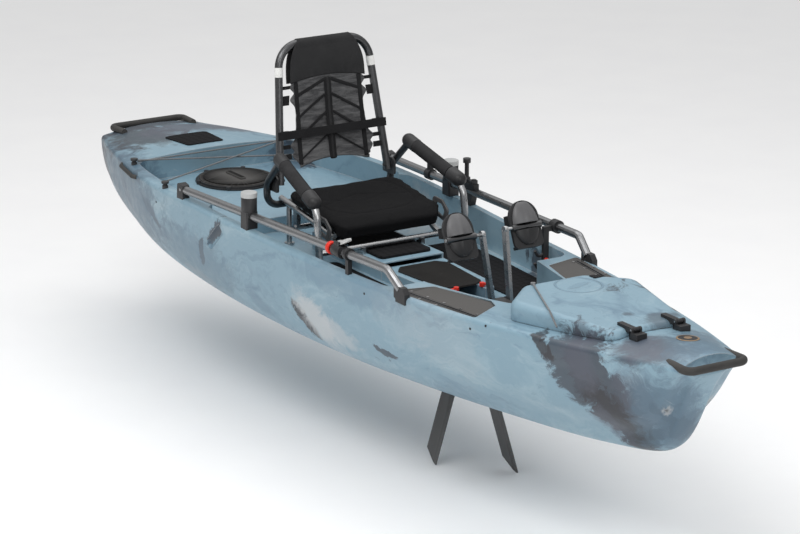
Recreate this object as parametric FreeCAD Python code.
import FreeCAD, Part
import math
import os

# Sit-on-top pedal kayak, in millimetres.
# Origin: middle of the flat keel face. +X to the bow, +Y to port, +Z up.

V = FreeCAD.Vector

# ---------------------------------------------------------------- driving dimensions

# Hull stations: distance along X, half-breadth at the gunwale, gunwale height, keel height,
# half-breadth and height of the bilge turn, and how much the deck is crowned.
STATIONS = [
    (-1800, 218, 362, 78, 120, 128, 20),
    (-1680, 260, 366, 58, 168, 112, 24),
    (-1520, 310, 372, 38, 222, 104, 25),
    (-1350, 357, 378, 20, 268, 97, 22),
    (-1150, 410, 387, 6, 318, 90, 14),
    (-900, 447, 393, -1, 352, 80, 6),
    (-600, 459, 394, -2, 366, 66, 2),
    (-300, 451, 387, -2, 364, 56, 2),
    (0, 433, 379, -2, 354, 52, 2),
    (300, 413, 374, -2, 338, 56, 2),
    (600, 388, 374, -2, 312, 68, 2),
    (880, 350, 378, -1, 268, 84, 4),
    (1100, 310, 385, 3, 216, 96, 8),
    (1300, 268, 391, 14, 164, 104, 14),
    (1460, 227, 397, 32, 118, 112, 24),
    (1570, 195, 401, 52, 84, 128, 32),
    (1650, 170, 404, 92, 66, 168, 34),
    (1715, 149, 406, 200, 64, 252, 32),
    (1765, 132, 407, 312, 72, 342, 28),
    (1800, 118, 408, 366, 84, 384, 24),
]
wall = 5                    # moulded wall thickness
gunwale_round = 16          # rounding of the gunwale edge
rim_width = 34              # flat rim between the gunwale and the cockpit
keel_flat = 42              # half-width of the flat part of the keel
keel_face = 1200            # half-length of the cut that leaves the flat resting face

# Cockpit and wells
floor_z = 250
cockpit_rear_x = -600
cockpit_neck_x = 545
well_floor_z = 305
well_front_x = -575
well_rear_x = -1290
well_inset = 46
console_half = 128
console_rear_x = -345
console_front_x = 500
console_rear_top = 313
console_front_top = 294
console_step_x = 118
NECK = [(460, 236), (560, 226), (740, 186), (850, 158), (934, 132)]

# Hatches
round_hatch_x = -1122
round_hatch_hole = 118
round_hatch_flange = 152
round_hatch_cover = 138
centre_hatch = (-250, 82, 104)
FRONT_LID = [(958, 118, 50), (1078, 250, 60), (1500, 146, 44)]
FRONT_HOLE = [(1036, 104), (1118, 180), (1300, 160), (1438, 92)]
lid_top_z = 453
lid_gap = 1.2
hatch_hinge_x = 1530
hatch_hinge_z = 452
hatch_hinge_y = 84

# Mounting boards and side rails
BOARD = [(575, 370), (985, 316), (912, 188), (852, 166), (740, 194), (610, 230)]
board_top_z = 374
board_thickness = 8
rail_radius = 15
rail_wall = 2.5
RAIL = [(-735, 438, 424), (566, 384, 446), (634, 374, 392)]
rail_bend = 34
post_x = -285
post_top_z = 498
rack_x = 424

# Cords over the rear well: place and distance inside the gunwale of each hook
BUNGEE_HOOKS = {"rear": (-1266, 26), "front": (-880, 18)}
bungee_radius = 3

# Seat
seat_half = 236
seat_pivot = V(-405, 0, 500)
seat_lean = 9.5
back_height = 476
back_foot_half = 224
back_head_half = 182
seat_tube = 14
rear_bar = (-330, 214, 343)     # place, half-length and height of the two cross bars
front_bar = (-20, 296, 338)
under_bar_x = -438              # the frame tube that runs across behind the seat
under_bar_z = 405
pan_tube = [V(-440, 200, 426), V(-74, 200, 372.5)]
arm_tube = 13
arm_foam = 24
ARM_REAR = V(-322, 268, 598)
ARM_FRONT = V(-66, 296, 520)

# Pedal drive
crank_pivot = V(672, 0, 272)
crank_plane = 55            # distance of the pedal end from the middle
crank_foot = 34             # the same at the shaft
tower_half = 24
crank_length = 262
crank_lean = {"starboard": 9.0, "port": 15.0}
pedal_inner = 82
pedal_tilt = 24
pedal_width = 116
pedal_shaft_radius = 6
running_gap = 0.05
DRIVE_WELL = (322, 760, 50)
fin_pivot_z = -14
FINS = {"aft": (390, 17), "fore": (600, -17)}
fin_chord = 76
fin_length = 335

# Rudder and steering
rudder_pin_x = -1836
rudder_pin_radius = 5
blade_pivot = V(-1885, 0, 104)
steer_pin = (-112, 405)
steer_grip_x = -158
steer_top_z = 468


# ---------------------------------------------------------------- helpers

def block(x0, x1, y0, y1, z0, z1):
    return Part.makeBox(x1 - x0, y1 - y0, z1 - z0, V(x0, y0, z0))


def rod(start, end, radius):
    return Part.makeCylinder(radius, (end - start).Length, start, end - start)


def mirrored(shape):
    """The same shape on the other side of the boat."""
    return shape.mirror(V(0, 0, 0), V(0, 1, 0))


def join(*shapes):
    return shapes[0].fuse(list(shapes[1:])).removeSplitter()


def group(*shapes):
    return Part.makeCompound(list(shapes))


def turned(shape, centre, axis, degrees):
    copy = shape.copy()
    copy.rotate(centre, axis, degrees)
    return copy


def corner_path(points, radii, closed):
    """Straight edges joined by a tangent arc at each corner that has a radius."""
    count = len(points)
    arcs = []
    for i in range(count):
        inner = closed or 0 < i < count - 1
        if not inner or radii[i] == 0:
            arcs.append((points[i], None, points[i]))
            continue
        to_last = (points[i - 1] - points[i]).normalize()
        to_next = (points[(i + 1) % count] - points[i]).normalize()
        half = to_last.getAngle(to_next) / 2
        reach = radii[i] / math.tan(half)
        middle = (to_last + to_next).normalize() * (radii[i] / math.sin(half) - radii[i])
        arcs.append((points[i] + to_last * reach, points[i] + middle, points[i] + to_next * reach))
    edges = []
    for i, (first, middle, last) in enumerate(arcs):
        if middle is not None:
            edges.append(Part.Arc(first, middle, last).toShape())
        if i < count - 1 or closed:
            following = arcs[(i + 1) % count][0]
            if (following - last).Length > 1e-6:
                edges.append(Part.LineSegment(last, following).toShape())
    return Part.Wire(edges)


def prism(corners, radius, direction, place):
    """A flat outline with rounded corners, pushed out along a direction."""
    points = [place(a, b) for a, b in corners]
    radii = radius if isinstance(radius, list) else [radius] * len(points)
    return Part.Face(corner_path(points, radii, True)).extrude(direction)


def plan_prism(corners, radius, z0, z1):
    return prism(corners, radius, V(0, 0, z1 - z0), lambda x, y: V(x, y, z0))


def side_prism(corners, radius, y0, y1):
    return prism(corners, radius, V(0, y1 - y0, 0), lambda x, z: V(x, y0, z))


def both_sides(half_outline):
    """A plan outline from its port half, run from stern to bow and back."""
    return half_outline + [(x, -y) for x, y in reversed(half_outline)]


def sweep(points, bend, radius, sides=0):
    """A round or many-sided bar along straight runs and tangent arcs."""
    radii = bend if isinstance(bend, list) else [bend] * len(points)
    path = corner_path(points, radii, False)
    heading = (points[1] - points[0]).normalize()
    if sides == 0:
        profile = Part.Wire(Part.makeCircle(radius, points[0], heading))
    else:
        across = heading.cross(V(0, 0, 1)).normalize()
        rim = []
        for i in range(sides + 1):
            spoke = FreeCAD.Rotation(heading, (i + 0.5) * 360 / sides).multVec(across)
            rim.append(points[0] + spoke * radius)
        profile = Part.makePolygon(rim)
    return path.makePipeShell([profile], True, False)


def tube(points, bend, radius, thickness, sides=0):
    return sweep(points, bend, radius, sides).cut(sweep(points, bend, radius - thickness, sides))


def ring(centre, axis, outer, inner, height):
    return Part.makeCylinder(outer, height, centre, axis).cut(
        Part.makeCylinder(inner, height, centre, axis))


def station_value(x, column):
    """A smooth value between the hull stations, by a cubic through four of them."""
    last = len(STATIONS) - 2
    i = 1
    while i < last - 1 and STATIONS[i + 1][0] < x:
        i += 1
    total = 0.0
    for j in range(i - 1, i + 3):
        weight = 1.0
        for k in range(i - 1, i + 3):
            if k != j:
                weight *= (x - STATIONS[k][0]) / (STATIONS[j][0] - STATIONS[k][0])
        total += STATIONS[j][column] * weight
    return total


def gunwale(x):
    return station_value(x, 1)


def sheer(x):
    return station_value(x, 2)


# ---------------------------------------------------------------- hull

def spline(points):
    """A curve through points, with the same spacing of its parameter at every station."""
    curve = Part.BSplineCurve()
    steps = [i / (len(points) - 1) for i in range(len(points))]
    curve.interpolate(Points=points, Parameters=steps)
    return curve.toShape()


def hull_section(station, inset):
    """One closed cross-section of the hull, or of the space inside its wall."""
    x, half, top, keel, bilge_half, bilge_z, crown = station
    half -= inset
    bilge_half -= inset * 0.8
    keel += inset
    top -= inset
    bilge_z += inset * 0.4
    edge = gunwale_round
    flat = min(keel_flat, bilge_half * 0.5)
    port = [
        V(x, half, top - edge),
        V(x, half - 0.10 * (half - bilge_half), bilge_z + 0.62 * (top - edge - bilge_z)),
        V(x, half - 0.42 * (half - bilge_half), bilge_z + 0.25 * (top - edge - bilge_z)),
        V(x, bilge_half, bilge_z),
        V(x, bilge_half * 0.78, keel + 0.42 * (bilge_z - keel)),
        V(x, max(flat, bilge_half * 0.45), keel + 0.12 * (bilge_z - keel)),
    ]
    keel_point = [V(x, 0, keel)]
    starboard = [V(p.x, -p.y, p.z) for p in reversed(port)]
    side_edge = [V(x, -half, top - edge), V(x, -half + edge * 0.29, top - edge * 0.29),
                 V(x, -half + edge, top)]
    deck_quarter = (half - edge) * 0.5
    deck = [V(x, -half + edge, top), V(x, -deck_quarter, top + crown * 0.78), V(x, 0, top + crown),
            V(x, deck_quarter, top + crown * 0.78), V(x, half - edge, top)]
    port_edge = [V(p.x, -p.y, p.z) for p in reversed(side_edge)]
    return Part.Wire([spline(port + keel_point + starboard), spline(side_edge), spline(deck),
                      spline(port_edge)])


def hull_solid(inset):
    stations = STATIONS
    if inset:
        stations = []
        for s in STATIONS:
            if -1790 < s[0] < 1740:
                stations.append(s[:3] + (s[3] + (30 if s[0] > 1600 else 0),) + s[4:])
    return Part.makeLoft([hull_section(s, inset) for s in stations], True, False)


def deck_opening(x0, x1, inset, z0, grow, corner):
    """A well that follows the gunwale at a constant distance, open to the sky."""
    steps = 5
    outline = []
    for i in range(steps + 1):
        x = x0 - grow + (x1 - x0 + 2 * grow) * i / steps
        outline.append(V(x, gunwale(min(max(x, x0), x1)) - inset + grow, z0 - grow))
    port = Part.BSplineCurve()
    port.interpolate(outline)
    starboard = Part.BSplineCurve()
    starboard.interpolate([V(p.x, -p.y, p.z) for p in reversed(outline)])
    front = Part.LineSegment(outline[-1], V(outline[-1].x, -outline[-1].y, outline[-1].z))
    rear = Part.LineSegment(V(outline[0].x, -outline[0].y, outline[0].z), outline[0])
    wire = Part.Wire([port.toShape(), front.toShape(), starboard.toShape(), rear.toShape()])
    well = Part.Face(wire).extrude(V(0, 0, 700 - z0 + grow))
    upright = [e for e in well.Edges
               if abs(e.BoundBox.ZLength - (700 - z0 + grow)) < 1 and e.BoundBox.XLength < 1]
    return well.makeFillet(corner + grow, upright)


def cockpit_space(grow):
    wide = deck_opening(cockpit_rear_x, cockpit_neck_x, rim_width, floor_z, grow, 50)
    half = [(NECK[0][0], NECK[0][1] + grow)]
    half += [(x, y + grow) for x, y in NECK[1:-1]]
    half += [(NECK[-1][0] + grow, NECK[-1][1] + grow)]
    neck = plan_prism(both_sides(half), [0, 40, 60, 60, 45, 45, 60, 60, 40, 0],
                      floor_z - grow, 700)
    space = wide.fuse(neck)
    rear = block(console_rear_x + grow, console_step_x, -console_half + grow, console_half - grow,
                 0, console_rear_top - grow)
    front = plan_prism(both_sides([(console_step_x - 30, console_half - grow),
                                   (console_front_x - 60, console_half - 16 - grow),
                                   (console_front_x - grow, 84 - grow)]),
                       0, 0, console_front_top - grow)
    return space.cut(rear.fuse(front))


def rear_well_space(grow):
    return deck_opening(well_rear_x, well_front_x, well_inset, well_floor_z, grow, 70)


def drive_well_space(grow):
    x0, x1, half = DRIVE_WELL
    return plan_prism([(x0 - grow, half + grow), (x1 + grow, half + grow),
                       (x1 + grow, -half - grow), (x0 - grow, -half - grow)], 30, -50, 700)


def side_groove(grow):
    """The slanted recess in each side below the gunwale, near the seat."""
    top = V(-425, gunwale(-425) + 12, 352)
    bottom = V(-515, gunwale(-515) + 6, 272)
    return rod(top, bottom, 24 + grow).fuse(Part.makeSphere(24 + grow, bottom))


def front_hatch_hole():
    return plan_prism(both_sides(FRONT_HOLE), [40, 50, 60, 40, 40, 60, 50, 40], 300, 700)


def centre_hatch_hole():
    x0, x1, half = centre_hatch
    return plan_prism([(x0 + 22, half - 22), (x1 - 22, half - 22), (x1 - 22, -half + 22),
                       (x0 + 22, -half + 22)], 14, 270, 700)


def make_hull(outer):
    inner = hull_solid(wall)
    for space in (cockpit_space(wall), rear_well_space(wall), drive_well_space(wall),
                  side_groove(wall), mirrored(side_groove(wall))):
        inner = inner.cut(space)
    hull = outer.cut(inner)
    cutters = [cockpit_space(0), rear_well_space(0), drive_well_space(0), side_groove(0),
               mirrored(side_groove(0)), front_hatch_hole(), centre_hatch_hole()]
    cutters.append(rod(V(round_hatch_x, 0, well_floor_z - 60), V(round_hatch_x, 0, 600),
                       round_hatch_hole + 6))
    ledge = plan_prism(BOARD, 8, board_top_z - board_thickness, 600)
    cutters += [ledge, mirrored(ledge)]
    cutters.append(block(-keel_face, keel_face, -400, 400, -30, 0))
    for cutter in cutters:
        hull = hull.cut(cutter)
    return max(hull.Solids, key=lambda s: s.Volume)


# ---------------------------------------------------------------- hatches and deck trim

def on_hull(piece, clear=0.0):
    """Trim a piece to the outside of the hull, so that it sits on the curved surface."""
    bed = outer_hull.translated(V(0, 0, clear)) if clear else outer_hull
    return piece.cut(bed)


def make_front_hatch_lid():
    outline = both_sides([(x, y) for x, y, r in FRONT_LID])
    radii = [r for x, y, r in FRONT_LID]
    radii = radii + radii[::-1]
    body = plan_prism(outline, radii, 360, 520)
    slope = side_prism([(900, 300), (1700, 300), (1700, lid_top_z - 13), (900, lid_top_z + 3)], 0,
                       -500, 500)
    body = body.common(slope)
    top = [f for f in body.Faces if f.Area > 60000 and f.CenterOfMass.z > 420]
    rim = [e for e in top[0].Edges if e.Length > 5]
    body = body.makeFillet(26, rim)
    pocket = plan_prism(both_sides([(1006, 112), (1100, 212), (1300, 182), (1462, 112)]),
                        [30, 40, 40, 26, 26, 40, 40, 30], 360, lid_top_z - 34)
    return on_hull(body, lid_gap).cut(pocket)


def make_front_hatch_seal():
    outline = both_sides([(x + (16 if x > 1200 else -16), y + 10) for x, y in FRONT_HOLE])
    seal = plan_prism(outline, [40, 50, 60, 40, 40, 60, 50, 40], 370, lid_top_z - 40)
    seal = seal.cut(front_hatch_hole())
    return on_hull(seal)


def hinge_pair(make_one):
    return group(make_one(hatch_hinge_y), make_one(-hatch_hinge_y))


def hinge_block(y):
    """A deck block with two ears that carry the pin."""
    foot = block(hatch_hinge_x - 8, hatch_hinge_x + 34, y - 20, y + 20, 400, hatch_hinge_z - 7)
    ears = rod(V(hatch_hinge_x, y - 20, hatch_hinge_z), V(hatch_hinge_x, y + 20, hatch_hinge_z), 8)
    ears = ears.fuse(block(hatch_hinge_x - 8, hatch_hinge_x + 8, y - 20, y + 20, 420,
                           hatch_hinge_z))
    notch = block(hatch_hinge_x - 40, hatch_hinge_x + 11, y - 11, y + 11, 380, 480)
    bore = rod(V(hatch_hinge_x, y - 30, hatch_hinge_z), V(hatch_hinge_x, y + 30, hatch_hinge_z), 3)
    return on_hull(join(foot, ears).cut(notch).cut(bore))


def hinge_pin(y):
    return rod(V(hatch_hinge_x, y - 19, hatch_hinge_z), V(hatch_hinge_x, y + 19, hatch_hinge_z), 3)


def hinge_strap(y, lid):
    """A strap on the lid with an eye round the pin."""
    eye = rod(V(hatch_hinge_x, y - 10, hatch_hinge_z), V(hatch_hinge_x, y + 10, hatch_hinge_z), 7.5)
    arm = block(1446, hatch_hinge_x, y - 10, y + 10, hatch_hinge_z - 16, hatch_hinge_z + 3)
    bore = rod(V(hatch_hinge_x, y - 30, hatch_hinge_z), V(hatch_hinge_x, y + 30, hatch_hinge_z),
               3 + running_gap)
    return join(eye, arm).cut(bore).cut(lid)


def make_round_hatch_ring():
    centre = V(round_hatch_x, 0, well_floor_z)
    flange = Part.makeCylinder(round_hatch_flange, 6, centre)
    neck = Part.makeCylinder(round_hatch_hole + 6, 30, centre - V(0, 0, 30))
    collar = Part.makeCylinder(round_hatch_cover + 7, 13, centre)
    body = join(flange, neck, collar)
    for i in range(6):
        angle = math.radians(60 * i + 20)
        lug = Part.makeCylinder(9, 15, centre + V(math.cos(angle), math.sin(angle), 0) * 147)
        body = body.fuse(lug)
    body = body.cut(Part.makeCylinder(round_hatch_cover + 0.8, 20, centre + V(0, 0, 6)))
    return body.cut(Part.makeCylinder(round_hatch_hole, 100, centre - V(0, 0, 40)))


def make_round_hatch_cover():
    base = V(round_hatch_x, 0, well_floor_z + 6.5)
    disc = Part.makeCylinder(round_hatch_cover, 8, base)
    step = Part.makeCylinder(round_hatch_cover - 16, 3, base + V(0, 0, 8))
    grip = block(round_hatch_x - 58, round_hatch_x + 58, -11, 11, base.z + 11, base.z + 19)
    grip = grip.makeFillet(3.5, [e for e in grip.Edges if e.CenterOfMass.z > base.z + 18])
    plug = Part.makeCylinder(round_hatch_hole - 2, 26, base - V(0, 0, 26))
    plug = plug.cut(Part.makeCylinder(round_hatch_hole - 5, 26, base - V(0, 0, 26)))
    return join(disc, step, plug, grip)


def make_centre_hatch_lid():
    x0, x1, half = centre_hatch
    z0 = console_rear_top + 0.5
    lid = plan_prism([(x0, half), (x1, half), (x1, -half), (x0, -half)], 16, z0, z0 + 10)
    lid = lid.makeFillet(3, [e for e in lid.Edges if e.CenterOfMass.z > z0 + 9.9])
    skirt = plan_prism([(x0 + 25, half - 25), (x1 - 25, half - 25), (x1 - 25, -half + 25),
                        (x0 + 25, -half + 25)], 12, z0 - 16, z0)
    skirt = skirt.cut(block(x0 + 29, x1 - 29, -half + 29, half - 29, z0 - 16, z0))
    return join(lid, skirt)


def make_console_plate():
    outline = both_sides([(150, 72), (184, 101), (428, 80), (449, 44)])
    return plan_prism(outline, [12, 14, 14, 14, 14, 14, 14, 12], console_front_top,
                      console_front_top + 6)


def make_stern_pad():
    pad = plan_prism([(-1520, 92), (-1350, 78), (-1350, -78), (-1520, -92)], 14, 380, 480)
    return on_hull(pad).common(outer_hull.translated(V(0, 0, 4)))


def make_floor_mat():
    outline = [(-150, 146), (-150, 370), (120, 362), (430, 336), (540, 206), (740, 166),
               (860, 140), (905, 104), (905, 66), (790, 66), (520, 66), (500, 146)]
    radii = [20, 40, 60, 60, 50, 60, 30, 30, 12, 0, 0, 30]
    return plan_prism(outline, radii, floor_z, floor_z + 5)


def board_screw_places():
    """Two rows of screws beside the track, at even steps along the board."""
    places = []
    start, end = V(625, 358, 0), V(950, 315, 0)
    inward = V(end.y - start.y, start.x - end.x, 0).normalize()
    for i in range(5):
        spot = start + (end - start) * (i / 4)
        places.append(spot)
        places.append(spot + inward * 34)
    return places


def make_board():
    board = plan_prism(BOARD, 10, board_top_z - board_thickness, board_top_z)
    for spot in board_screw_places():
        board = board.cut(rod(V(spot.x, spot.y, 300), V(spot.x, spot.y, 500), 2.6))
    return board.cut(track_bar())


def track_bar():
    """The bar that carries the slide channel, before the channel is cut."""
    start, end = V(612, 342, 0), V(960, 296, 0)
    along = (end - start).normalize()
    across = V(-along.y, along.x, 0)
    corners = [start + across * 8, end + across * 8, end - across * 8, start - across * 8]
    return plan_prism([(c.x, c.y) for c in corners], 0, board_top_z - 5, board_top_z + 1.5)


def make_track():
    start, end = V(600, 343.6, 0), V(972, 294.4, 0)
    along = (end - start).normalize()
    across = V(-along.y, along.x, 0)
    body = track_bar()
    for half, z0, z1 in ((2.8, board_top_z - 2, board_top_z + 3),
                         (5.2, board_top_z - 3.6, board_top_z - 0.4)):
        corners = [start + across * half, end + across * half, end - across * half,
                   start - across * half]
        body = body.cut(plan_prism([(c.x, c.y) for c in corners], 0, z0, z1))
    return body


def make_board_screws():
    screws = []
    for spot in board_screw_places():
        head = Part.makeCylinder(5, 2.4, V(spot.x, spot.y, board_top_z))
        shank = Part.makeCylinder(2.6, board_thickness, V(spot.x, spot.y,
                                                          board_top_z - board_thickness))
        screw = head.fuse(shank)
        screws += [screw, mirrored(screw)]
    return group(*screws)


def end_handle(x_root, x_bar, half, z):
    """A grab bar across one end of the hull, bent back into it at both sides."""
    reach = 60 if x_bar > 0 else -60
    points = [V(x_root - reach, half - 6, z), V(x_bar, half, z), V(x_bar, -half, z),
              V(x_root - reach, -half + 6, z)]
    return sweep(points, 26, 13)


def make_bow_handle():
    return on_hull(end_handle(1790, 1838, 112, 404))


def make_stern_handle():
    return on_hull(end_handle(-1790, -1834, 158, 380))


def make_side_handles():
    """A strap handle on each side of the stern, standing off the gunwale."""
    points = []
    for x, out in ((-1378, -4), (-1350, 9), (-1170, 9), (-1142, -4)):
        points.append(V(x, gunwale(x) + out, sheer(x) - 18))
    handle = sweep(points, 16, 8)
    handle = on_hull(handle)
    return group(handle, mirrored(handle))


def make_bungee_hooks():
    hooks = []
    for x, inset in BUNGEE_HOOKS.values():
        y = gunwale(x) - inset
        base = V(x, y, sheer(x) - 8)
        post = Part.makeCylinder(11, 26, base)
        knob = Part.makeCylinder(14, 7, base + V(0, 0, 26))
        hook = on_hull(post.fuse(knob).cut(ring(base + V(0, 0, 18), V(0, 0, 1), 20, 8, 6)))
        hooks += [hook, mirrored(hook)]
    return group(*hooks)


def make_bungee_cords():
    """Three straight stretched cords between the hooks."""
    spots = {}
    for name, (x, inset) in BUNGEE_HOOKS.items():
        y = gunwale(x) - inset
        spots[name] = V(x, y, sheer(x) + 11)
    starboard = {name: V(p.x, -p.y, p.z) for name, p in spots.items()}
    runs = [(starboard["rear"], spots["rear"]), (starboard["rear"], spots["front"]),
            (starboard["front"], spots["rear"])]
    cords = []
    for i, (start, end) in enumerate(runs):
        along = (end - start).normalize() * 15
        rise = V(0, 0, 6.5 * i)
        cords.append(rod(start + along + rise, end - along + rise, bungee_radius))
    return group(*cords)


# ---------------------------------------------------------------- side rails

def rail_points(lift=0.0):
    return [V(*p) + V(0, 0, lift) for p in RAIL]


def rail_at(x):
    """The middle of the port rail's long straight run."""
    start, end = rail_points()[:2]
    return start + (end - start) * ((x - start.x) / (end.x - start.x))


def rail_bar():
    return sweep(rail_points(), rail_bend, rail_radius, 12)


def make_rail():
    return tube(rail_points(), rail_bend, rail_radius, rail_wall, 12)


def make_rear_bracket():
    """A block on the gunwale that holds the rear end of the rail."""
    end = rail_at(RAIL[0][0])
    body = side_prism([(end.x - 22, 350), (end.x + 26, 350), (end.x + 26, end.z + 18),
                       (end.x - 2, end.z + 24), (end.x - 14, end.z + 20)], [0, 0, 8, 8, 8],
                      end.y - 14, end.y + 14)
    return on_hull(body).cut(rail_bar())


def make_post():
    """The middle support: a square clamp block below, a round holder above."""
    spot = rail_at(post_x)
    split = spot.z + rail_radius
    foot = block(post_x - 24, post_x + 24, spot.y - 23, spot.y + 23, 350, split)
    foot = foot.makeFillet(6, [e for e in foot.Edges if e.BoundBox.ZLength > 90])
    holder = ring(V(post_x, spot.y, split), V(0, 0, 1), 28, 23, post_top_z - split)
    holder = holder.fuse(Part.makeCylinder(28, 4, V(post_x, spot.y, split)))
    return on_hull(join(foot, holder)).cut(rail_bar())


def make_post_cap():
    spot = rail_at(post_x)
    top = Part.makeCylinder(29, 18, V(post_x, spot.y, post_top_z))
    top = top.makeFillet(4, [e for e in top.Edges if e.BoundBox.ZMin > post_top_z + 17])
    return top.fuse(Part.makeCylinder(22.9, 14, V(post_x, spot.y, post_top_z - 14)))


def make_front_foot():
    end = V(*RAIL[2])
    body = side_prism([(end.x - 26, 350), (end.x + 40, 350), (end.x + 40, end.z - 8),
                       (end.x + 24, end.z + 12), (end.x - 26, end.z + 12)], [0, 0, 6, 8, 8],
                      end.y - 9, end.y + 12)
    return on_hull(body).cut(rail_bar())


def make_rail_collar():
    spot = rail_at(236)
    return ring(spot - V(9, 0, 0), V(1, 0, 0), 22, rail_radius - 1, 18).cut(rail_bar())


def make_clamp_body():
    """The split clamp beside the collar, with two ears that carry the lever pin."""
    spot = rail_at(284)
    body = rod(spot - V(24, 0, 0), spot + V(24, 0, 0), 23)
    for side in (-14, 8):
        ear = block(spot.x - 16, spot.x + 16, spot.y + side, spot.y + side + 6, spot.z + 15,
                    spot.z + 34)
        body = body.fuse(ear)
    slot = block(spot.x - 30, spot.x + 30, spot.y - 8, spot.y + 8, spot.z + 17.5, spot.z + 50)
    body = body.cut(slot).cut(rail_bar())
    pin = rod(spot + V(0, -30, 27), spot + V(0, 30, 27), 3)
    return body.cut(pin)


def make_clamp_pin():
    spot = rail_at(284)
    return rod(spot + V(0, -15, 27), spot + V(0, 15, 27), 3)


def make_clamp_lever():
    spot = rail_at(284) + V(0, 0, 27)
    cam = rod(spot + V(0, -7.4, 0), spot + V(0, 7.4, 0), 8.5)
    arm = side_prism([(spot.x - 6, spot.z - 6), (spot.x + 6, spot.z - 7),
                      (spot.x + 66, spot.z + 22), (spot.x + 62, spot.z + 32),
                      (spot.x + 10, spot.z + 10)], [0, 0, 4, 4, 8], spot.y - 7.4, spot.y + 7.4)
    bore = rod(spot + V(0, -20, 0), spot + V(0, 20, 0), 3 + running_gap)
    return join(cam, arm).cut(bore)


def make_rail_knob():
    """A plain collar on the port rail, behind the post."""
    spot = rail_at(-430)
    collar = rod(spot - V(14, 0, 0), spot + V(14, 0, 0), 21)
    knob = rod(spot + V(0, 0, 10), spot + V(0, 0, 40), 12)
    return join(collar, knob).cut(rail_bar())


def make_clamp_post():
    spot = rail_at(338)
    body = block(spot.x - 9, spot.x + 9, spot.y - 8, spot.y + 8, 350, spot.z - 4)
    body = body.fuse(rod(spot - V(9, 0, 0), spot + V(9, 0, 0), 21))
    return on_hull(body.cut(rail_bar()))


def make_rack():
    """A comb of hooks that hangs from the port rail into the cockpit."""
    spot = rail_at(rack_x)
    clamp = rod(spot - V(16, 0, 0), spot + V(16, 0, 0), 23)
    spine = block(spot.x - 6, spot.x + 6, 334, 356, 286, spot.z - 4)
    neck = block(spot.x - 8, spot.x + 8, 334, spot.y - 10, spot.z - 12, spot.z + 6)
    body = join(clamp, spine, neck)
    for z in (396, 352, 308):
        arm = sweep([V(spot.x, 350, z + 6), V(spot.x, 316, z - 8), V(spot.x, 302, z + 16)], 12, 5)
        body = body.fuse(arm)
    return body.removeSplitter().cut(rail_bar())


def make_rack_knobs():
    spot = rail_at(rack_x)
    knobs = [rod(V(spot.x + 6, 345, z), V(spot.x + 20, 345, z), 9) for z in (298, 330)]
    return group(*knobs)


# ---------------------------------------------------------------- seat

def arm_middle():
    return ARM_FRONT + (ARM_REAR - ARM_FRONT) * 0.5


def front_leg_bar():
    start = V(4, 303, floor_z + 6.5)
    return sweep([start, V(-22, 301, 470), ARM_FRONT + V(10, -1, 3), arm_middle()], [0, 60, 26, 0],
                 arm_tube)


def rear_frame_bar():
    """One tube from arm to arm, down each side and across behind the seat."""
    port = [arm_middle(), ARM_REAR, V(under_bar_x, 259, 486), V(under_bar_x, 258, under_bar_z)]
    starboard = [V(p.x, -p.y, p.z) for p in reversed(port)]
    return sweep(port + starboard, [0, 34, 60, 46, 46, 60, 34, 0], arm_tube)


def make_rear_legs():
    leg = rod(V(under_bar_x, 168, floor_z), V(under_bar_x, 168, under_bar_z), 10)
    leg = leg.fuse(rod(V(under_bar_x, 168, floor_z), V(under_bar_x, 168, floor_z + 8), 18))
    leg = leg.cut(rear_frame_bar())
    return group(leg, mirrored(leg))


def make_cross_bars():
    bars = []
    for x, half, z in (rear_bar, front_bar):
        bars.append(rod(V(x, -half, z), V(x, half, z), 10))
    return group(*bars).cut(front_leg_bar()).cut(mirrored(front_leg_bar()))


def make_seat_feet():
    """Blocks that stand the seat's cross bars on the console."""
    feet = []
    for x, half, z in (rear_bar, front_bar):
        for y in (-92, 92):
            foot = block(x - 17, x + 17, y - 22, y + 22, console_rear_top, z)
            if x > centre_hatch[0]:
                foot = block(x - 17, x + 17, y + (22 if y > 0 else -42), y + (42 if y > 0 else -22),
                             console_rear_top, z)
                foot = foot.common(block(-500, 500, -console_half, console_half, 0, 600))
            feet.append(foot.cut(rod(V(x, -400, z), V(x, 400, z), 10)))
    return group(*feet)


def make_pan_tubes():
    bar = sweep(pan_tube, 0, 11).cut(rear_frame_bar())
    return group(bar, mirrored(bar))


def make_pan_brackets():
    """Upright brackets from the cross bars to the pan tubes."""
    rear = block(rear_bar[0] - 12, rear_bar[0] + 12, 192, 208, rear_bar[2] + 3, 404)
    front = side_prism([(-100, 368), (-76, 364), (-10, 346), (-28, 330)], 0, 192, 208)
    brackets = []
    for piece in (rear, front):
        piece = piece.cut(sweep(pan_tube, 0, 11))
        for x, half, z in (rear_bar, front_bar):
            piece = piece.cut(rod(V(x, 0, z), V(x, 400, z), 10))
        brackets += [piece, mirrored(piece)]
    return group(*brackets)


def make_cushion():
    profile = [(-374, 474), (-48, 430), (-2, 408), (-8, 360), (-62, 385), (-374, 437)]
    body = side_prism(profile, [14, 40, 18, 8, 30, 10], -seat_half, seat_half)
    plan = plan_prism([(-374, 205), (-340, seat_half), (-60, seat_half), (-2, 190), (-2, -190),
                       (-60, -seat_half), (-340, -seat_half), (-374, -205)], 26, 300, 520)
    return body.common(plan)


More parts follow.
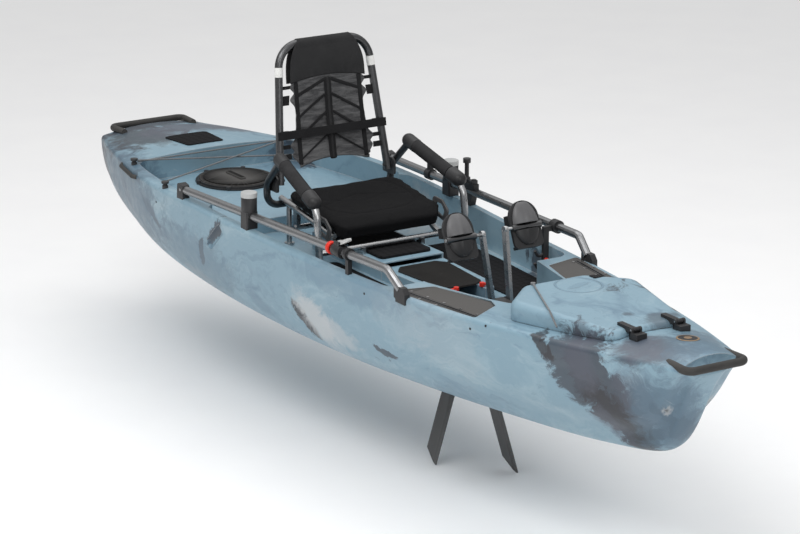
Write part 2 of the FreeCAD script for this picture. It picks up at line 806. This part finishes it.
def make_side_plates():
    """A plastic guard with a hole on each side of the seat pan."""
    outer = side_prism([(-128, 448), (-64, 444), (-26, 414), (-38, 366), (-120, 384)],
                       [16, 16, 14, 14, 16], seat_half + 1, seat_half + 9)
    hole = side_prism([(-104, 430), (-66, 428), (-48, 408), (-58, 384), (-102, 396)],
                      [10, 10, 8, 8, 10], seat_half, seat_half + 20)
    piece = outer.cut(hole)
    return group(piece, mirrored(piece))


def make_foam():
    start = ARM_FRONT + (ARM_REAR - ARM_FRONT) * 0.12
    end = ARM_FRONT + (ARM_REAR - ARM_FRONT) * 0.86
    sleeve = rod(start, end, arm_foam)
    return sleeve.cut(front_leg_bar()).cut(rear_frame_bar())


def make_front_cap():
    """The hard cap over the bend at the front of the arm."""
    along = (ARM_FRONT - ARM_REAR).normalize()
    middle = ARM_FRONT + along * 4
    body = rod(middle - along * 30, middle + along * 16, 27)
    body = body.fuse(Part.makeSphere(27, middle + along * 16))
    cap = body.common(block(-400, 200, 200, 400, ARM_FRONT.z - 24, 620))
    start = ARM_FRONT + (ARM_REAR - ARM_FRONT) * 0.12
    cap = cap.cut(rod(start, start - along * 200, arm_foam + 1))
    return cap.cut(front_leg_bar())


def make_rear_cap():
    along = (ARM_REAR - ARM_FRONT).normalize()
    start = ARM_FRONT + (ARM_REAR - ARM_FRONT) * 0.86
    body = rod(start, start + along * 44, 25).fuse(Part.makeSphere(25, start + along * 44))
    return body.cut(front_leg_bar()).cut(rear_frame_bar())


def make_seat_brackets():
    """Plates on the rear frame that hold the hinge pins of the seat back."""
    plate = side_prism([(-462, 462), (-384, 462), (-384, 512), (-400, 524), (-462, 512)],
                       [6, 8, 10, 10, 8], 240, 247)
    plate = plate.cut(rear_frame_bar())
    pin = rod(V(seat_pivot.x, 230, seat_pivot.z), V(seat_pivot.x, 260, seat_pivot.z), 6)
    plate = max(plate.cut(pin).Solids, key=lambda s: s.Volume)
    return group(plate, mirrored(plate))


def make_seat_pins():
    pin = rod(V(seat_pivot.x, 207, seat_pivot.z), V(seat_pivot.x, 247, seat_pivot.z), 6)
    return group(pin, mirrored(pin))


def leaned(shape):
    """Put a part of the seat back, modelled upright on its pivot, at its resting angle."""
    moved = shape.translated(seat_pivot)
    return turned(moved, seat_pivot, V(0, 1, 0), -seat_lean)


def back_frame_points():
    return [V(0, -back_foot_half, -16), V(0, -back_foot_half + 6, 60),
            V(0, -back_head_half, back_height), V(0, back_head_half, back_height),
            V(0, back_foot_half - 6, 60), V(0, back_foot_half, -16)]


def back_frame_bar(extra=0.0):
    return sweep(back_frame_points(), [0, 80, 88, 88, 80, 0], seat_tube + extra)


def make_back_frame():
    frame = tube(back_frame_points(), [0, 80, 88, 88, 80, 0], seat_tube, 2.5)
    bore = rod(V(0, -300, 0), V(0, 300, 0), 6 + running_gap)
    return leaned(frame.cut(bore))


def make_back_bands():
    """Light reflective sleeves near the top corners of the back frame."""
    start, end = back_frame_points()[4], back_frame_points()[3]
    along = (end - start).normalize()
    spot = start + along * ((end - start).Length - 112)
    band = rod(spot, spot + along * 34, seat_tube + 1.2).cut(back_frame_bar())
    return leaned(group(band, mirrored(band)))


def back_prism(corners, radius, x0, x1):
    return prism(corners, radius, V(x1 - x0, 0, 0), lambda y, z: V(x0, y, z))


def mirrored_outline(half):
    return half + [(-y, z) for y, z in reversed(half)]


def make_back_panel():
    """The mesh part of the back, with a scooped lower edge."""
    half = [(168, 26), (172, 120), (166, 240), (152, 340)]
    outline = mirrored_outline(half)
    body = back_prism(outline, [24, 60, 60, 30, 30, 60, 60, 24], 2, 14)
    scoop = rod(V(-100, 0, -238), V(100, 0, -238), 296)
    return leaned(body.cut(scoop))


def make_head_panel():
    half = [(152, 340.5), (150, 380), (112, back_height + 17)]
    body = back_prism(mirrored_outline(half), [0, 40, 22, 22, 40, 0], -16, 16.5)
    return leaned(body.cut(back_frame_bar()))


def make_lumbar_strap():
    body = block(14.3, 17.3, -224, 224, 142, 172)
    body = body.fuse(block(-2, 17.3, 176, 208, 142, 172)).fuse(block(-2, 17.3, -208, -176, 142, 172))
    return leaned(body.cut(back_frame_bar()).cut(block(-5, 14.3, -175, 175, 0, 400)))


def make_back_straps():
    """Short tapes that tie the mesh panel to the frame at each side."""
    tapes = []
    for z, height, inner in ((70, 20, 172), (108, 14, 172), (262, 34, 164), (318, 12, 156)):
        tape = block(2, 6, inner - 6, 214, z, z + height)
        tapes.append(tape)
    solids = []
    for tape in tapes:
        trimmed = tape.cut(back_frame_bar())
        half = [(168, 26), (172, 120), (166, 240), (152, 340)]
        panel = back_prism(mirrored_outline(half), [24, 60, 60, 30, 30, 60, 60, 24], 2, 14)
        trimmed = trimmed.cut(panel)
        piece = max(trimmed.Solids, key=lambda s: s.Volume)
        solids += [piece, mirrored(piece)]
    return leaned(group(*solids))


# ---------------------------------------------------------------- pedal drive

def make_drive_housing():
    x0, x1, half = DRIVE_WELL
    spine = plan_prism([(x0 + 5, half - 5), (x1 - 5, half - 5), (x1 - 5, -half + 5),
                        (x0 + 5, -half + 5)], 26, 96, 246)
    tower = side_prism([(618, 240), (726, 240), (712, 306), (632, 306)], [0, 0, 16, 16],
                       -tower_half, tower_half)
    body = join(spine, tower)
    for x, sweep_angle in FINS.values():
        for side in (-1, 1):
            hanger = block(x + side * 48 - 5, x + side * 48 + 5, -17, 17, fin_pivot_z, 110)
            hanger = hanger.fuse(rod(V(x + side * 48 - 5, 0, fin_pivot_z),
                                     V(x + side * 48 + 5, 0, fin_pivot_z), 17))
            body = body.fuse(hanger)
    body = body.removeSplitter()
    body = body.cut(rod(crank_pivot - V(0, 100, 0), crank_pivot + V(0, 100, 0), 8))
    for x, sweep_angle in FINS.values():
        body = body.cut(rod(V(x - 70, 0, fin_pivot_z), V(x + 70, 0, fin_pivot_z), 5))
    return body


def make_drive_shaft():
    end = crank_foot + 8.4
    shaft = rod(crank_pivot - V(0, end, 0), crank_pivot + V(0, end, 0), 8)
    for sign in (-1, 1):
        cap = rod(crank_pivot + V(0, sign * end, 0), crank_pivot + V(0, sign * (end + 3.5), 0), 11)
        shaft = shaft.fuse(cap)
    return shaft


def make_fin_axles():
    return group(*[rod(V(x - 53, 0, fin_pivot_z), V(x + 53, 0, fin_pivot_z), 5)
                   for x, sweep_angle in FINS.values()])


def pedal_centre(side):
    """The end of a crank, in the plane of its bar."""
    angle = math.radians(crank_lean[side])
    sign = 1 if side == "port" else -1
    return crank_pivot + V(-math.sin(angle) * crank_length, sign * crank_plane,
                           math.cos(angle) * crank_length)


def make_crank(side):
    sign = 1 if side == "port" else -1
    top = pedal_centre(side)
    foot = crank_pivot + V(0, sign * crank_foot, 0)
    across = V(0, 6.5, 0)
    boss = rod(foot - V(0, 8, 0), foot + V(0, 8, 0), 16)
    eye = rod(top - across, top + across, 13)
    profile = Part.makePolygon([foot + V(a, b, 0) for a, b in
                                ((-12, -6.5), (12, -6.5), (12, 6.5), (-12, 6.5), (-12, -6.5))])
    bar = Part.Face(profile).extrude(top - foot)
    body = join(boss, eye, bar)
    body = body.cut(rod(foot - V(0, 20, 0), foot + V(0, 20, 0), 8 + running_gap))
    return body.cut(rod(top - V(0, 20, 0), top + V(0, 20, 0), pedal_shaft_radius))


def make_pedal_shaft(side):
    sign = 1 if side == "port" else -1
    top = pedal_centre(side)
    inner = V(top.x, sign * (crank_plane - 6.5), top.z)
    outer = V(top.x, sign * (pedal_inner + pedal_width + 2), top.z)
    return rod(inner, outer, pedal_shaft_radius)


def make_pedal(side):
    """A foot plate with a round top and a heel lip, on a hub that turns on the shaft."""
    sign = 1 if side == "port" else -1
    top = pedal_centre(side)
    y0 = sign * pedal_inner
    y1 = sign * (pedal_inner + pedal_width)
    middle = (y0 + y1) / 2
    radius = pedal_width / 2
    plate = prism([(y0, -72), (y1, -72), (y1, 30), (y0, 30)], [18, 18, 0, 0], V(11, 0, 0),
                  lambda y, z: V(-13, y, z))
    crown = rod(V(-13, middle, 30), V(-2, middle, 30), radius)
    hub = rod(V(0, y0, 0), V(0, y1, 0), 11)
    heel = block(-34, -2, min(y0, y1) + 10, max(y0, y1) - 10, -72, -62)
    rib = block(-6, 5, middle - 7, middle + 7, -60, 74)
    body = join(plate, crown, hub, heel, rib)
    body = body.cut(rod(V(0, -400, 0), V(0, 400, 0), pedal_shaft_radius + running_gap))
    moved = body.translated(V(top.x, 0, top.z))
    return turned(moved, top, V(0, 1, 0), -pedal_tilt)


def make_pedal_strap(side):
    """The strap that loops over the rider's foot, behind the pedal."""
    sign = 1 if side == "port" else -1
    top = pedal_centre(side)
    y0 = sign * (pedal_inner + 3)
    y1 = sign * (pedal_inner + pedal_width - 3)
    points = [V(-14, y0, 22), V(-58, y0 + sign * 6, 30), V(-74, (y0 + y1) / 2, 34),
              V(-58, y1 - sign * 6, 30), V(-14, y1, 22)]
    path = corner_path(points, [0, 26, 60, 26, 0], False)
    profile = Part.makePolygon([V(-14, y0 - 1.5, 8), V(-14, y0 + 1.5, 8), V(-14, y0 + 1.5, 40),
                                V(-14, y0 - 1.5, 40), V(-14, y0 - 1.5, 8)])
    strap = path.makePipeShell([profile], True, False)
    strap = strap.cut(block(-13, 40, -400, 400, -100, 200))
    moved = strap.translated(V(top.x, 0, top.z))
    return turned(moved, top, V(0, 1, 0), -pedal_tilt)


def make_fin_mast(name):
    """The sprocket on its axle, and the rod that runs down inside the fin."""
    x, sweep_angle = FINS[name]
    pivot = V(x, 0, fin_pivot_z)
    body = rod(pivot - V(42, 0, 0), pivot + V(42, 0, 0), 15)
    mast_x = x + fin_chord / 2 - 13
    body = body.fuse(rod(V(mast_x, 0, fin_pivot_z), V(mast_x, 0, fin_pivot_z - fin_length * 0.8), 4))
    body = body.cut(rod(pivot - V(60, 0, 0), pivot + V(60, 0, 0), 5 + running_gap))
    return turned(body, pivot, V(1, 0, 0), -sweep_angle)


def make_fin_blade(name):
    x, sweep_angle = FINS[name]
    pivot = V(x, 0, fin_pivot_z)
    front = x + fin_chord / 2
    rear = x - fin_chord / 2
    section = [(rear, 1.2), (front - 16, 6.5), (front - 4, 4.5), (front, 1.5)]
    blade = plan_prism(both_sides(section), [0, 20, 3, 1, 1, 3, 20, 0],
                       fin_pivot_z - fin_length, fin_pivot_z - 10)
    tip = side_prism([(rear - 1, fin_pivot_z - fin_length - 1),
                      (front + 1, fin_pivot_z - fin_length - 1),
                      (rear - 1, fin_pivot_z - fin_length + 44)], 0, -20, 20)
    notch = side_prism([(rear - 1, fin_pivot_z), (rear + 9, fin_pivot_z),
                        (rear - 1, fin_pivot_z - 120)], 0, -20, 20)
    blade = blade.cut(tip).cut(notch)
    blade = blade.cut(rod(pivot - V(42.5, 0, 0), pivot + V(42.5, 0, 0), 15))
    mast_x = front - 13
    blade = blade.cut(rod(V(mast_x, 0, fin_pivot_z),
                          V(mast_x, 0, fin_pivot_z - fin_length * 0.8), 4))
    return turned(blade, pivot, V(1, 0, 0), -sweep_angle)


def latch_centre(side):
    return V(474, 52 if side == "port" else -52, console_front_top)


def make_latch(side):
    """A red tab that turns over the rim of the drive to lock it down."""
    base = latch_centre(side) + V(0, 0, 0.4)
    sign = 1 if side == "port" else -1
    knob = Part.makeCylinder(9, 14, base)
    tab = block(base.x - 5, base.x + 5, min(0, sign * 20) + base.y, max(0, sign * 20) + base.y,
                base.z + 3, base.z + 10)
    return join(knob, tab)


# ---------------------------------------------------------------- steering

def make_steering_bracket():
    """A wedge from the port rail to the deck edge, with a flat head for the handle."""
    x, y = steer_pin
    spot = rail_at(steer_grip_x)
    wedge = side_prism([(x - 92, spot.z + 14), (x, spot.z + 14), (x - 22, 372), (x - 62, 372)],
                       [6, 6, 6, 6], spot.y - 14, spot.y + 12)
    head = block(x - 92, x + 18, y - 13, y + 13, spot.z + 13, steer_top_z)
    head = head.makeFillet(6, [e for e in head.Edges if e.BoundBox.ZLength > 19])
    body = on_hull(join(wedge, head)).cut(rail_bar())
    return body.cut(rod(V(x, y, 400), V(x, y, 600), 5))


def make_steering_pin():
    x, y = steer_pin
    pin = rod(V(x, y, steer_top_z - 18), V(x, y, steer_top_z + 13), 5)
    return pin.fuse(rod(V(x, y, steer_top_z + 13), V(x, y, steer_top_z + 16), 9))


def make_steering_handle():
    """A small tiller: hub, arm and a spool-shaped grip."""
    x, y = steer_pin
    top = steer_top_z + 0.4
    grip_base = V(steer_grip_x, y, top)
    hub = rod(V(x, y, top), V(x, y, top + 12), 14)
    arm = block(steer_grip_x, x, y - 7, y + 7, top, top + 9)
    grip = rod(grip_base, grip_base + V(0, 0, 84), 8)
    foot = rod(grip_base, grip_base + V(0, 0, 14), 13)
    crown = rod(grip_base + V(0, 0, 68), grip_base + V(0, 0, 84), 14)
    body = join(hub, arm, grip, foot, crown)
    return body.cut(rod(V(x, y, 300), V(x, y, 600), 5 + running_gap))


def make_rudder_bracket():
    plate = block(-1812, -1800, -26, 26, 150, 344)
    body = plate
    for z in (214, 318):
        body = body.fuse(block(rudder_pin_x, -1806, -14, 14, z, z + 14))
        body = body.fuse(Part.makeCylinder(14, 14, V(rudder_pin_x, 0, z)))
    body = body.removeSplitter()
    return body.cut(rod(V(rudder_pin_x, 0, 100), V(rudder_pin_x, 0, 400), rudder_pin_radius))


def make_rudder_pin():
    return rod(V(rudder_pin_x, 0, 210), V(rudder_pin_x, 0, 336), rudder_pin_radius)


def make_rudder_head():
    core = block(rudder_pin_x - 18, rudder_pin_x, -13, 13, 228.5, 317.5)
    core = core.fuse(rod(V(rudder_pin_x, 0, 228.5), V(rudder_pin_x, 0, 317.5), 13))
    body = core
    for y0, y1 in ((4.6, 12), (-12, -4.6)):
        cheek = side_prism([(-1908, 80), (-1862, 80), (-1855, 130), (-1853, 300), (-1876, 300),
                            (-1908, 140)], [14, 14, 0, 8, 8, 14], y0, y1)
        body = body.fuse(cheek)
    body = body.removeSplitter()
    body = body.cut(rod(V(rudder_pin_x, 0, 100), V(rudder_pin_x, 0, 400),
                        rudder_pin_radius + running_gap))
    body = body.cut(rod(blade_pivot - V(0, 40, 0), blade_pivot + V(0, 40, 0), rudder_pin_radius))
    return body


def make_blade_pin():
    return rod(blade_pivot - V(0, 14, 0), blade_pivot + V(0, 14, 0), rudder_pin_radius)


def make_rudder_blade():
    """The kick-up blade, folded up behind the stern."""
    outline = [(-1900, 88), (-1868, 88), (-1866, 330), (-1900, 340), (-1938, 300), (-1926, 150)]
    blade = side_prism(outline, [10, 10, 14, 20, 30, 40], -4, 4)
    return blade.cut(rod(blade_pivot - V(0, 40, 0), blade_pivot + V(0, 40, 0),
                         rudder_pin_radius + running_gap))


# ---------------------------------------------------------------- small fittings

def make_drain_plug():
    return rod(V(-1800, -75, 172), V(-1808, -75, 172), 15).fuse(
        rod(V(-1808, -75, 172), V(-1816, -75, 172), 9))


def make_lid_cord(lid):
    """The elastic cord over the lid's rear starboard corner, clear of the lid by its own radius."""
    start = V(990, -95, lid_top_z + 6)
    edge = V(1236, -204, lid_top_z + 2)
    end = V(1290, -212, lid_top_z - 38)
    return sweep([start, edge, end], 8, 3).cut(lid)


def make_lid_hook(lid):
    body = rod(V(982, -91, 430), V(982, -91, 462), 8)
    return body.cut(lid)


# ---------------------------------------------------------------- write the parts

outer_hull = hull_solid(0)
lid = make_front_hatch_lid()


def pair(piece):
    return group(piece, mirrored(piece))


def all_of(*shapes):
    """Separate solids that share one node."""
    return group(*[solid for shape in shapes for solid in shape.Solids])


nodes = {
    "hull": make_hull(outer_hull),
    "front_hatch_lid": lid,
    "front_hatch_seal": make_front_hatch_seal(),
    "hatch_hinge_blocks": hinge_pair(hinge_block),
    "hatch_hinge_pins": hinge_pair(hinge_pin),
    "hatch_hinge_straps": group(hinge_strap(hatch_hinge_y, lid), hinge_strap(-hatch_hinge_y, lid)),
    "lid_cord": all_of(make_lid_cord(lid), make_lid_hook(lid)),
    "round_hatch_ring": make_round_hatch_ring(),
    "round_hatch_cover": make_round_hatch_cover(),
    "centre_hatch_lid": make_centre_hatch_lid(),
    "console_plate": make_console_plate(),
    "stern_pad": make_stern_pad(),
    "floor_mats": pair(make_floor_mat()),
    "mounting_boards": pair(make_board()),
    "board_tracks": pair(make_track()),
    "board_screws": make_board_screws(),
    "end_handles": all_of(make_bow_handle(), make_stern_handle()),
    "side_handles": make_side_handles(),
    "bungee_hooks": make_bungee_hooks(),
    "bungee_cords": make_bungee_cords(),
    "drain_plug": make_drain_plug(),
    "side_rails": pair(make_rail()),
    "rail_brackets": all_of(pair(make_rear_bracket()), pair(make_front_foot()), make_rail_knob(),
                            mirrored(make_clamp_post())),
    "rail_posts": pair(make_post()),
    "rail_post_caps": pair(make_post_cap()),
    "rail_collar": mirrored(make_rail_collar()),
    "rail_clamp": all_of(mirrored(make_clamp_body()), mirrored(make_clamp_pin())),
    "rail_clamp_lever": mirrored(make_clamp_lever()),
    "tool_rack": make_rack(),
    "tool_rack_knobs": make_rack_knobs(),
    "seat_front_legs": pair(front_leg_bar()),
    "seat_rear_frames": rear_frame_bar().cut(front_leg_bar()).cut(mirrored(front_leg_bar())),
    "seat_under_frame": all_of(make_cross_bars(), make_pan_tubes(), make_pan_brackets(),
                               make_seat_feet(), make_rear_legs()),
    "seat_cushion": make_cushion(),
    "seat_side_plates": make_side_plates(),
    "armrest_sleeves": pair(make_foam()),
    "armrest_caps": all_of(pair(make_front_cap()), pair(make_rear_cap())),
    "seat_hinge_plates": all_of(make_seat_brackets(), make_seat_pins()),
    "back_frame": make_back_frame(),
    "back_bands": make_back_bands(),
    "back_panel": make_back_panel(),
    "head_panel": make_head_panel(),
    "back_straps": all_of(make_lumbar_strap(), make_back_straps()),
    "drive_housing": make_drive_housing(),
    "drive_axles": all_of(make_drive_shaft(), make_fin_axles()),
    "steering_bracket": all_of(make_steering_bracket(), make_steering_pin()),
    "steering_handle": make_steering_handle(),
    "rudder_bracket": all_of(make_rudder_bracket(), make_rudder_pin()),
    "rudder_head": all_of(make_rudder_head(), make_blade_pin()),
    "rudder_blade": make_rudder_blade(),
}
for side in ("starboard", "port"):
    nodes["crank_" + side] = all_of(make_crank(side), make_pedal_shaft(side))
    nodes["pedal_" + side] = make_pedal(side)
    nodes["pedal_strap_" + side] = make_pedal_strap(side)
    nodes["drive_latch_" + side] = make_latch(side)
for name in FINS:
    nodes["fin_" + name] = all_of(make_fin_mast(name), make_fin_blade(name))

os.makedirs("parts", exist_ok=True)
for name, shape in nodes.items():
    if not shape.isValid() or not shape.Solids:
        print("invalid", name, shape.isValid(), len(shape.Solids))
    shape.exportStep("parts/" + name + ".step")
print(len(nodes), "nodes")
